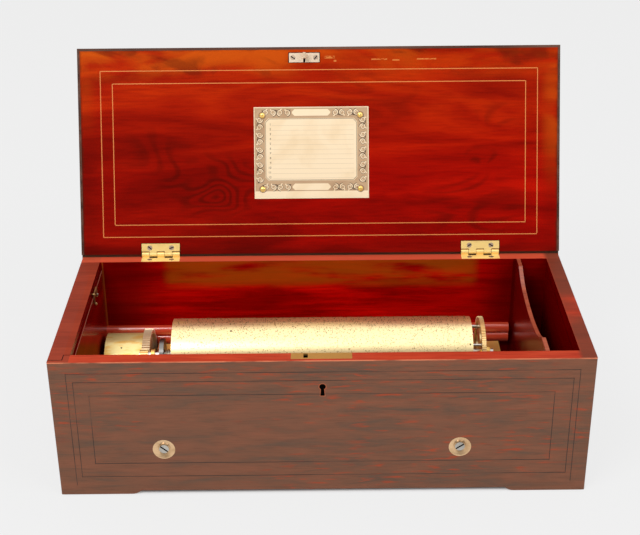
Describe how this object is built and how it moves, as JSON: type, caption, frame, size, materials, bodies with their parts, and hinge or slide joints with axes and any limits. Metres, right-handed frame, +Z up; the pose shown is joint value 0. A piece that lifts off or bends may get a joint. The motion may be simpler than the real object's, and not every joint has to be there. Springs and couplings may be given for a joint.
{
  "type": "cylinder musical box",
  "caption": "Key-wound cylinder musical box in an inlaid wooden case with its lid open, showing the pinned cylinder, comb, governor, spring barrel and control levers.",
  "frame": {"origin": "middle of the rectangle that the open box takes up, on the surface its feet stand on", "axes": "+X to the right along the case as seen from the front, +Y from the front face to the back, +Z up"},
  "size_m": [0.5522, 0.337, 0.3827],
  "materials": {
    "front_rosewood": "French polished, dark grain",
    "case_wood": "French polished",
    "interior_wood": "stained dark red, satin",
    "rail_wood": "polished, red-brown",
    "lid_wood": "French polished, figured, deep red",
    "ebonised_wood": "ebonised, polished",
    "brass": "polished",
    "bright_brass": "polished, bright",
    "steel": "bright steel",
    "blued_steel": "grey steel",
    "nickel": "nickel plated, worn",
    "lead": "dull lead",
    "card": "cream card"
  },
  "bodies": {
    "case": {"back_panel": "case_wood", "back_rail": "rail_wood", "barrel_bracket": "brass", "bed_bearers": "interior_wood", "bedplate": "brass", "bottom_board": "interior_wood", "case_leaf_screws": "steel", "comb": "steel", "comb_base": "brass", "fixing_screws": "steel", "fixing_washers": "bright_brass", "flap_hinge_case_leaves": "brass", "flap_hook_pivot": "steel", "front_panel": "front_rosewood", "governor_frame": "brass", "hinge_pins": "steel", "inner_end_panel": "interior_wood", "left_bearing_plate": "brass", "left_sill": "case_wood", "lever_studs": "steel", "lid_hinge_case_leaves": "brass", "lock_body": "brass", "movement_screws": "steel", "partition": "interior_wood", "right_cock": "brass", "right_end_panel": "case_wood", "tuning_weights": "lead"},
    "lid": {"lid_panel": "lid_wood", "lid_edge_strip": "ebonised_wood", "lid_catch_plate": "nickel", "lid_screws": "steel", "tune_card": "card", "card_nails": "bright_brass", "lid_hinge_lid_leaves": "brass"},
    "flap": {"flap_panel": "case_wood", "flap_hinge_flap_leaves": "brass", "flap_catch_pin": "brass"},
    "hook": {"flap_hook": "bright_brass"},
    "bolt": {"lock_bolt": "steel"},
    "arbor": {"cylinder_arbor": "steel", "arbor_pinion": "bright_brass", "stop_disc": "steel", "right_wheel": "brass", "drive_pins": "steel", "return_spring": "steel"},
    "cylinder": {"cylinder_tube": "bright_brass", "cylinder_cap_left": "brass", "cylinder_cap_right": "brass"},
    "snail": {"change_snail": "brass"},
    "barrel": {"spring_barrel": "bright_brass", "mainspring": "blued_steel"},
    "winding": {"winding_arbor": "steel"},
    "click": {"click": "steel"},
    "governor_first": {"governor_first_arbor": "brass"},
    "governor_second": {"governor_second_arbor": "brass"},
    "fly": {"endless_screw_and_fly": "steel"},
    "start_lever": {"start_lever": "steel"},
    "change_lever": {"change_lever": "steel"},
    "stop_lever": {"instant_stop_lever": "steel"}
  },
  "joints": [
    {"name": "lid_hinge", "type": "hinge", "parent": "case", "child": "lid", "pos_m": [0, 0.06725, 0.164], "axis": [1, 0, 0], "range_deg": [0, 112.4]},
    {"name": "flap_hinge", "type": "hinge", "parent": "case", "child": "flap", "pos_m": [-0.2726, -0.05074, 0.0226], "axis": [0, -1, 0], "range_deg": [0, 90]},
    {"name": "flap_hook_turn", "type": "hinge", "parent": "case", "child": "hook", "pos_m": [-0.25075, 0.00126, 0.147], "axis": [1, 0, 0], "range_deg": [-45, 0]},
    {"name": "lock_bolt_slide", "type": "slide", "parent": "case", "child": "bolt", "axis": [-1, 0, 0], "range_m": [0, 0.004]},
    {"name": "arbor_spin", "type": "hinge", "parent": "case", "child": "arbor", "pos_m": [0, -0.02675, 0.0851], "axis": [1, 0, 0], "continuous": true},
    {"name": "barrel_spin", "type": "hinge", "parent": "case", "child": "barrel", "pos_m": [-0.224, 0.00626, 0.05199], "axis": [1, 0, 0], "continuous": true},
    {"name": "governor_first_spin", "type": "hinge", "parent": "case", "child": "governor_first", "pos_m": [0.187, -0.0698, 0.07905], "axis": [1, 0, 0], "continuous": true},
    {"name": "governor_second_spin", "type": "hinge", "parent": "case", "child": "governor_second", "pos_m": [0.187, -0.08755, 0.07905], "axis": [1, 0, 0], "continuous": true},
    {"name": "fly_spin", "type": "hinge", "parent": "case", "child": "fly", "pos_m": [0.197, -0.09805, 0.08], "axis": [0, 0, 1], "continuous": true},
    {"name": "tune_shift", "type": "slide", "parent": "arbor", "child": "cylinder", "axis": [1, 0, 0], "range_m": [0, 0.00385]},
    {"name": "snail_turn", "type": "hinge", "parent": "arbor", "child": "snail", "pos_m": [0.173, -0.04525, 0.0851], "axis": [-1, 0, 0], "range_deg": [0, 330]},
    {"name": "winding_turn", "type": "hinge", "parent": "case", "child": "winding", "pos_m": [-0.224, 0.00626, 0.05199], "axis": [1, 0, 0], "continuous": true},
    {"name": "click_lift", "type": "hinge", "parent": "case", "child": "click", "pos_m": [-0.192, -0.01787, 0.04773], "axis": [1, 0, 0], "range_deg": [0, 12], "stiffness_Nm_per_rad": 0.02, "springref_deg": -5.73},
    {"name": "start_lever_turn", "type": "hinge", "parent": "case", "child": "start_lever", "pos_m": [-0.222, -0.10275, 0.0648], "axis": [0, 0, 1], "range_deg": [-6, 6]},
    {"name": "change_lever_turn", "type": "hinge", "parent": "case", "child": "change_lever", "pos_m": [-0.222, -0.08274, 0.0648], "axis": [0, 0, 1], "range_deg": [-6, 6]},
    {"name": "instant_stop_lever_turn", "type": "hinge", "parent": "case", "child": "stop_lever", "pos_m": [-0.222, -0.06274, 0.0648], "axis": [0, 0, 1], "range_deg": [-6, 6]}
  ],
  "couplings": [
    {"joint": "barrel_spin", "follows": "arbor_spin", "ratio": -0.13415},
    {"joint": "governor_first_spin", "follows": "arbor_spin", "ratio": -9.8333},
    {"joint": "governor_second_spin", "follows": "arbor_spin", "ratio": 59},
    {"joint": "fly_spin", "follows": "arbor_spin", "ratio": 1770},
    {"joint": "snail_turn", "follows": "tune_shift", "rad_per_m": 1496}
  ]
}
